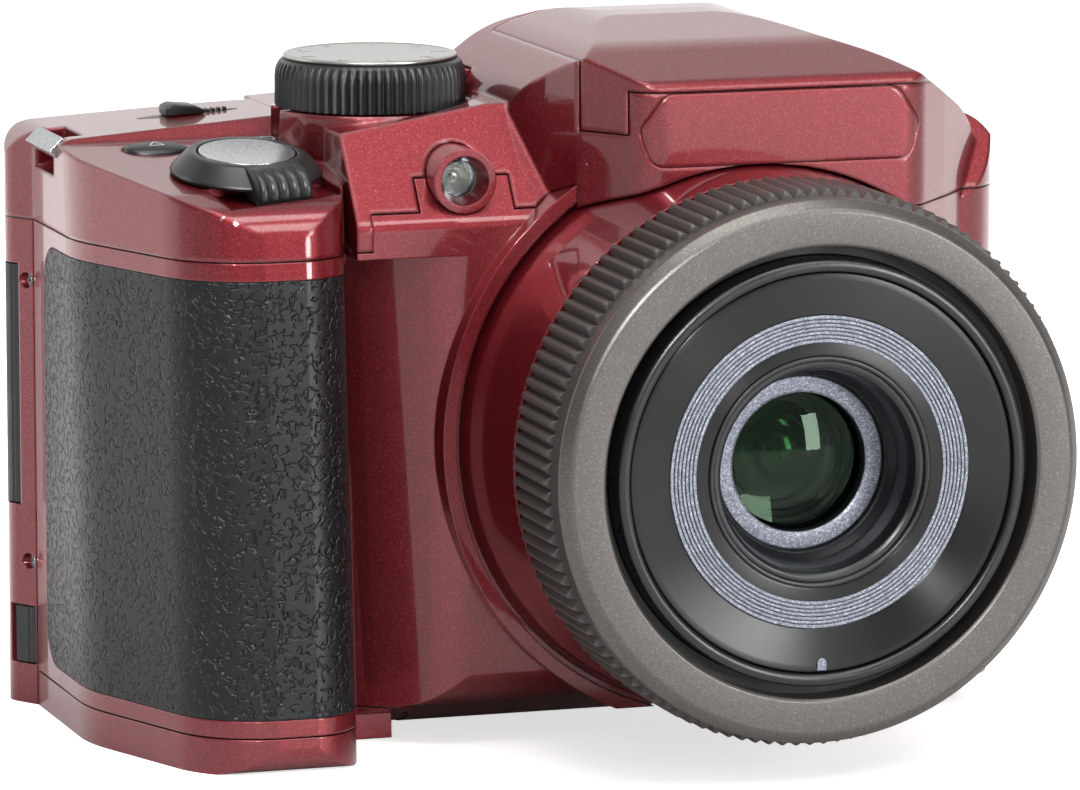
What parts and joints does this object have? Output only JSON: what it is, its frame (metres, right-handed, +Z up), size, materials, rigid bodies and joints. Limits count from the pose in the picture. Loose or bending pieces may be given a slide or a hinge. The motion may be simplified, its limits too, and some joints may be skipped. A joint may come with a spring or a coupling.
{
  "type": "bridge camera",
  "caption": "Compact bridge camera with a battery grip, a fixed ribbed lens ring, a two-stage sliding zoom, a pop-up flash, a mode dial and a tilting battery door.",
  "frame": {"origin": "centre of the tripod socket's mouth, on the flat underside below the lens axis", "axes": "+Z up, the lens looks along -Y, +X towards the side away from the grip"},
  "size_m": [0.1152, 0.0857, 0.0865],
  "materials": {
    "red_shell": "deep metallic red lacquer",
    "black_trim": "fine matte black plastic",
    "grip_skin": "wrinkled grip rubber",
    "flap_rubber": "smooth soft flap",
    "silver": "satin silver paint",
    "gunmetal": "warm dark grey metallic paint",
    "lens_glass": "coated glass",
    "clear_window": "clear moulded window",
    "screen_glass": "dark screen window",
    "steel": "turned steel",
    "brass": "turned brass",
    "circuit": "green circuit board",
    "cell_skin": "plain printed cell jacket, light as a real cell",
    "inner_plastic": "plain inner moulding"
  },
  "bodies": {
    "camera_body": {"aa_cells": "cell_skin", "battery_box": "inner_plastic", "battery_contacts": "steel", "case_screws": "steel", "chassis": "inner_plastic", "dc_jack": "black_trim", "flash_capacitor": "cell_skin", "focus_glass": "lens_glass", "front_cover": "red_shell", "front_plate": "red_shell", "front_ring": "gunmetal", "grip_rubber": "grip_skin", "hinge_pin": "steel", "image_sensor": "screen_glass", "key_board": "circuit", "knurled_ring": "black_trim", "lamp_collar": "black_trim", "lamp_window": "clear_window", "lcd_panel": "inner_plastic", "lcd_window": "screen_glass", "lens_base": "inner_plastic", "lens_tube": "inner_plastic", "main_board": "circuit", "rear_cover": "red_shell", "sd_card": "black_trim", "speaker": "black_trim", "strap_bars": "silver", "thumb_rest": "grip_skin", "top_cover": "red_shell", "tripod_bush": "brass", "usb_port": "steel", "zoom_motor": "steel"},
    "outer_barrel": {"outer_barrel": "black_trim"},
    "inner_barrel": {"inner_barrel": "black_trim", "front_cell": "black_trim", "front_glass": "lens_glass"},
    "mode_dial": {"mode_dial": "black_trim", "dial_cap": "silver"},
    "zoom_lever": {"zoom_lever": "black_trim"},
    "shutter_button": {"shutter_button": "silver"},
    "flash_mode_button": {"flash_mode_button": "silver"},
    "burst_button": {"burst_button": "silver"},
    "power_slider": {"power_slider": "silver"},
    "flash_hood": {"flash_hood": "red_shell", "flash_case": "inner_plastic", "flash_window": "clear_window", "flash_tube": "clear_window"},
    "flash_release": {"flash_release": "black_trim"},
    "video_button": {"video_button": "silver"},
    "four_way_pad": {"four_way_pad": "silver"},
    "set_button": {"set_button": "silver"},
    "usb_flap": {"usb_flap": "flap_rubber"},
    "dc_flap": {"dc_flap": "flap_rubber"},
    "battery_door": {"battery_door": "red_shell", "door_contacts": "steel"},
    "battery_latch": {"battery_latch": "black_trim"},
    "rear_button_1": {"rear_button_1": "silver"},
    "rear_button_2": {"rear_button_2": "silver"},
    "rear_button_3": {"rear_button_3": "silver"},
    "rear_button_4": {"rear_button_4": "silver"}
  },
  "joints": [
    {"name": "zoom_slide", "type": "slide", "parent": "camera_body", "child": "outer_barrel", "axis": [0, -1, 0], "range_m": [0, 0.018]},
    {"name": "inner_slide", "type": "slide", "parent": "outer_barrel", "child": "inner_barrel", "axis": [0, -1, 0], "range_m": [0, 0.016]},
    {"name": "dial_turn", "type": "hinge", "parent": "camera_body", "child": "mode_dial", "pos_m": [-0.0381, -0.0025, 0.0759], "axis": [0, 0, 1], "continuous": true},
    {"name": "lever_turn", "type": "hinge", "parent": "camera_body", "child": "zoom_lever", "pos_m": [-0.0572, -0.0143, 0.06946], "axis": [0, -0.1362, 0.9907], "range_deg": [-20, 20], "stiffness_Nm_per_rad": 0.02},
    {"name": "shutter_press", "type": "slide", "parent": "camera_body", "child": "shutter_button", "axis": [0, 0.1362, -0.9907], "range_m": [0, 0.0009], "stiffness_N_per_m": 250},
    {"name": "flash_mode_press", "type": "slide", "parent": "camera_body", "child": "flash_mode_button", "axis": [0, 0.1362, -0.9907], "range_m": [0, 0.0005], "stiffness_N_per_m": 250},
    {"name": "burst_press", "type": "slide", "parent": "camera_body", "child": "burst_button", "axis": [0, 0.1362, -0.9907], "range_m": [0, 0.0005], "stiffness_N_per_m": 250},
    {"name": "power_slide", "type": "slide", "parent": "camera_body", "child": "power_slider", "axis": [-0.998, 0, -0.0633], "range_m": [0, 0.003]},
    {"name": "flash_lift", "type": "hinge", "parent": "camera_body", "child": "flash_hood", "pos_m": [0, 0.002, 0.0826], "axis": [-1, 0, 0], "range_deg": [0, 38]},
    {"name": "release_press", "type": "slide", "parent": "camera_body", "child": "flash_release", "axis": [1, 0, 0], "range_m": [0, 0.0008], "stiffness_N_per_m": 250},
    {"name": "video_press", "type": "slide", "parent": "camera_body", "child": "video_button", "axis": [0, -1, 0], "range_m": [0, 0.0005], "stiffness_N_per_m": 250},
    {"name": "set_press", "type": "slide", "parent": "camera_body", "child": "set_button", "axis": [0, -1, 0], "range_m": [0, 0.0005], "stiffness_N_per_m": 250},
    {"name": "pad_rock", "type": "hinge", "parent": "camera_body", "child": "four_way_pad", "pos_m": [-0.0565, 0.0232, 0.03], "axis": [1, 0, 0], "range_deg": [-2.5, 2.5], "stiffness_Nm_per_rad": 0.3},
    {"name": "usb_flap_turn", "type": "hinge", "parent": "camera_body", "child": "usb_flap", "pos_m": [-0.07716, 0.0188, 0.0401], "axis": [0, 0, 1], "range_deg": [0, 80]},
    {"name": "dc_flap_turn", "type": "hinge", "parent": "camera_body", "child": "dc_flap", "pos_m": [-0.07589, 0.0168, 0.0087], "axis": [0, 0, 1], "range_deg": [0, 80]},
    {"name": "door_turn", "type": "hinge", "parent": "camera_body", "child": "battery_door", "pos_m": [-0.0382, 0, 0.0014], "axis": [0, -1, 0], "range_deg": [0, 92]},
    {"name": "latch_slide", "type": "slide", "parent": "battery_door", "child": "battery_latch", "axis": [0, -1, 0], "range_m": [0, 0.003]},
    {"name": "rear_press_1", "type": "slide", "parent": "camera_body", "child": "rear_button_1", "axis": [0, -1, 0], "range_m": [0, 0.0005], "stiffness_N_per_m": 250},
    {"name": "rear_press_2", "type": "slide", "parent": "camera_body", "child": "rear_button_2", "axis": [0, -1, 0], "range_m": [0, 0.0005], "stiffness_N_per_m": 250},
    {"name": "rear_press_3", "type": "slide", "parent": "camera_body", "child": "rear_button_3", "axis": [0, -1, 0], "range_m": [0, 0.0005], "stiffness_N_per_m": 250},
    {"name": "rear_press_4", "type": "slide", "parent": "camera_body", "child": "rear_button_4", "axis": [0, -1, 0], "range_m": [0, 0.0005], "stiffness_N_per_m": 250}
  ],
  "couplings": [
    {"joint": "inner_slide", "follows": "zoom_slide", "ratio": 0.88889}
  ]
}
